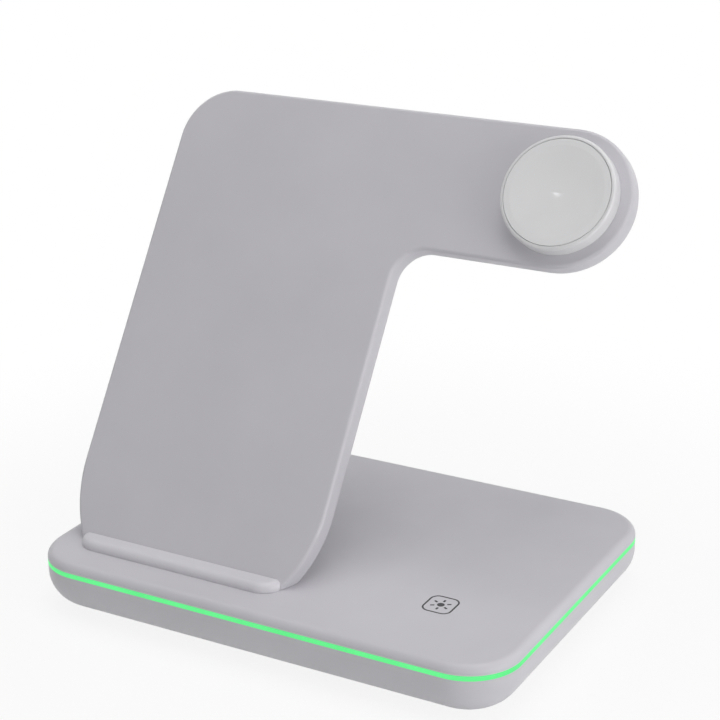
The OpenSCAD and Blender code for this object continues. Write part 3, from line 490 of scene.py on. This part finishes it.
HOUSING_DEEP = (0.74, 0.735, 0.75)
HOUSING_PALE = (0.78, 0.775, 0.79)
FACE_DEEP = (0.80, 0.80, 0.81)
FACE_PALE = (0.84, 0.84, 0.85)
NICKEL_DEEP = (0.50, 0.49, 0.48)
NICKEL_PALE = (0.62, 0.61, 0.60)

puck_housing_skin = moulded_plastic(
    "puck_housing_skin", HOUSING_DEEP, HOUSING_PALE,
    grain=0.0004, height=0.000004, sheen=(0.28, 0.36), coat=0.1,
)
dress("puck_housing", puck_housing_skin)
puck_face_skin = moulded_plastic(
    "puck_face_skin", FACE_DEEP, FACE_PALE,
    grain=0.0006, height=0.000002, sheen=(0.16, 0.22), coat=0.3,
)
dress("puck_face", puck_face_skin)
magnet_nickel = worked_metal(
    "magnet_nickel", NICKEL_DEEP, NICKEL_PALE,
    streak=0.0015, stretch=(1, 1, 1), sheen=(0.12, 0.24), height=0.000004,
)
dress("puck_magnet", magnet_nickel)


# -------------------------------------------------------------------- leads
# Soft sleeved wires between the board, the coils, the key and the strip,
# in several colours so that the assembler can tell them apart.

RED = ("lead_red", (0.36, 0.015, 0.015), (0.48, 0.03, 0.03))
WHITE = ("lead_white", (0.66, 0.66, 0.66), (0.76, 0.76, 0.76))
YELLOW = ("lead_yellow", (0.60, 0.38, 0.02), (0.72, 0.48, 0.04))
BLUE = ("lead_blue", (0.012, 0.05, 0.28), (0.02, 0.08, 0.38))
SLEEVES = {
    "phone_coil_lead": RED,
    "watch_coil_lead": WHITE,
    "earbuds_coil_lead": YELLOW,
    "touch_lead": BLUE,
    "light_strip_lead": WHITE,
}
for lead, (sleeve_slot, sleeve_deep, sleeve_pale) in SLEEVES.items():
    sleeve = moulded_plastic(
        lead + "_sleeve", sleeve_deep, sleeve_pale,
        grain=0.0005, height=0.00001, sheen=(0.5, 0.65),
    )
    dress(lead, sleeve)


# ------------------------------------------------------------------ the set
# A pale table top under the station, seen against a white ground. It takes
# the station's soft shadow and fades into the white a little way off.

TABLE_SIZE = 4.0
TABLE_WHITE = (0.9, 0.9, 0.9)
TABLE_ROUGHNESS = 0.9
TABLE_GLOSS = 0.1
TABLE_FADE = (0.09, 0.24)
TABLE_SHARE = 0.87
GROUND_LIGHT = 0.15

table = bpy.data.meshes.new("table_top")
table_shape = bmesh.new()
bmesh.ops.create_grid(table_shape, x_segments=1, y_segments=1, size=TABLE_SIZE / 2)
table_shape.to_mesh(table)
table_shape.free()
table_top = bpy.data.objects.new("table_top", table)
bpy.context.scene.collection.objects.link(table_top)


def seen_directly(tree):
    """1 for what the camera sees, also in a gloss or through glass."""
    path = tree.nodes.new("ShaderNodeLightPath")
    seen = path.outputs["Is Camera Ray"]
    for other in ("Is Glossy Ray", "Is Transmission Ray"):
        either = tree.nodes.new("ShaderNodeMath")
        either.operation = "MAXIMUM"
        tree.links.new(seen, either.inputs[0])
        tree.links.new(path.outputs[other], either.inputs[1])
        seen = either.outputs["Value"]
    return seen


def white_share(tree):
    """How far the table is taken over by the white, rising away from the base."""
    place = tree.nodes.new("ShaderNodeTexCoord").outputs["Object"]
    reach = tree.nodes.new("ShaderNodeVectorMath")
    reach.operation = "LENGTH"
    tree.links.new(place, reach.inputs[0])
    fade = tree.nodes.new("ShaderNodeMapRange")
    fade.interpolation_type = "SMOOTHSTEP"
    fade.inputs["From Min"].default_value = TABLE_FADE[0]
    fade.inputs["From Max"].default_value = TABLE_FADE[1]
    fade.inputs["To Min"].default_value = TABLE_SHARE
    fade.inputs["To Max"].default_value = 1.0
    tree.links.new(reach.outputs["Value"], fade.inputs["Value"])
    share = tree.nodes.new("ShaderNodeMath")
    share.operation = "MULTIPLY"
    tree.links.new(fade.outputs["Result"], share.inputs[0])
    tree.links.new(seen_directly(tree), share.inputs[1])
    return share.outputs["Value"]


table_finish = bpy.data.materials.new("table_finish")
table_finish.use_nodes = True
tree = table_finish.node_tree
shader = tree.nodes["Principled BSDF"]
shader.inputs["Base Color"].default_value = (*TABLE_WHITE, 1)
shader.inputs["Roughness"].default_value = TABLE_ROUGHNESS
shader.inputs["Specular IOR Level"].default_value = TABLE_GLOSS
white = tree.nodes.new("ShaderNodeEmission")
blend = tree.nodes.new("ShaderNodeMixShader")
tree.links.new(white_share(tree), blend.inputs["Fac"])
tree.links.new(shader.outputs["BSDF"], blend.inputs[1])
tree.links.new(white.outputs["Emission"], blend.inputs[2])
tree.links.new(blend.outputs["Shader"], tree.nodes["Material Output"].inputs["Surface"])
table.materials.append(table_finish)

ground = bpy.data.worlds.new("white_ground")
bpy.context.scene.world = ground
ground.use_nodes = True
tree = ground.node_tree
tree.nodes.clear()
choice = tree.nodes.new("ShaderNodeMixShader")
tree.links.new(seen_directly(tree), choice.inputs["Fac"])
for way_in, strength in ((1, GROUND_LIGHT), (2, 1.0)):
    sky = tree.nodes.new("ShaderNodeBackground")
    sky.inputs["Color"].default_value = (1, 1, 1, 1)
    sky.inputs["Strength"].default_value = strength
    tree.links.new(sky.outputs["Background"], choice.inputs[way_in])
result = tree.nodes.new("ShaderNodeOutputWorld")
tree.links.new(choice.outputs["Shader"], result.inputs["Surface"])


# -------------------------------------------------------------------- lamps
# Large soft boxes: the main one is above, a low one on the right draws bright
# edges along the stand, and weaker ones fill from the front, right, back and
# left. Each has its place, its width and its power in watts.

STATION_MIDDLE = Vector((0.0, 0.0, 0.06))
SOFT_BOXES = {
    "top_box": ((0.00, 0.05, 0.95), 0.7, 4.0),
    "low_box": ((0.92, -0.15, 0.14), 0.4, 2.9),
    "front_box": ((0.10, -0.95, 0.35), 0.6, 1.15),
    "right_box": ((0.75, -0.20, 0.55), 0.5, 0.8),
    "back_box": ((0.55, 0.65, 0.55), 0.5, 1.0),
    "left_box": ((-0.70, 0.20, 0.60), 0.5, 0.6),
}
for name, (stand_at, width, power) in SOFT_BOXES.items():
    light = bpy.data.lights.new(name, "AREA")
    light.shape = "SQUARE"
    light.size = width
    light.energy = power
    box = bpy.data.objects.new(name, light)
    bpy.context.scene.collection.objects.link(box)
    box.location = stand_at
    box.rotation_mode = "QUATERNION"
    aim = STATION_MIDDLE - Vector(stand_at)
    box.rotation_quaternion = aim.to_track_quat("-Z", "Y")


# ------------------------------------------------------------------- camera
# It looks at the station from the front right and a little above, through a
# long lens, so that the sides run nearly parallel. It is turned from the
# front, raised above the table, and rolled, all in degrees.

CAMERA_PLACE = (0.24797, -0.42848, 0.25849)
CAMERA_TURN = 29.43
CAMERA_RISE = 20.67
CAMERA_ROLL = -0.77
CAMERA_LENS = 94.115
CAMERA_SENSOR = 36
CAMERA_SEES = (0.01, 20)

turn, rise, roll = (math.radians(a) for a in (CAMERA_TURN, CAMERA_RISE, CAMERA_ROLL))
right = Vector((math.cos(turn), math.sin(turn), 0))
back = Vector(
    (math.sin(turn) * math.cos(rise), -math.cos(turn) * math.cos(rise), math.sin(rise))
)
up = back.cross(right)
camera_x = right * math.cos(roll) + up * math.sin(roll)
camera_y = up * math.cos(roll) - right * math.sin(roll)
camera_data = bpy.data.cameras.new("station_camera")
camera_data.sensor_width = CAMERA_SENSOR
camera_data.lens = CAMERA_LENS
camera_data.clip_start, camera_data.clip_end = CAMERA_SEES
camera = bpy.data.objects.new("station_camera", camera_data)
bpy.context.scene.collection.objects.link(camera)
facing = Matrix((camera_x, camera_y, back)).transposed().to_4x4()
camera.matrix_world = Matrix.Translation(CAMERA_PLACE) @ facing
bpy.context.scene.camera = camera
bpy.context.scene.view_settings.view_transform = "Standard"
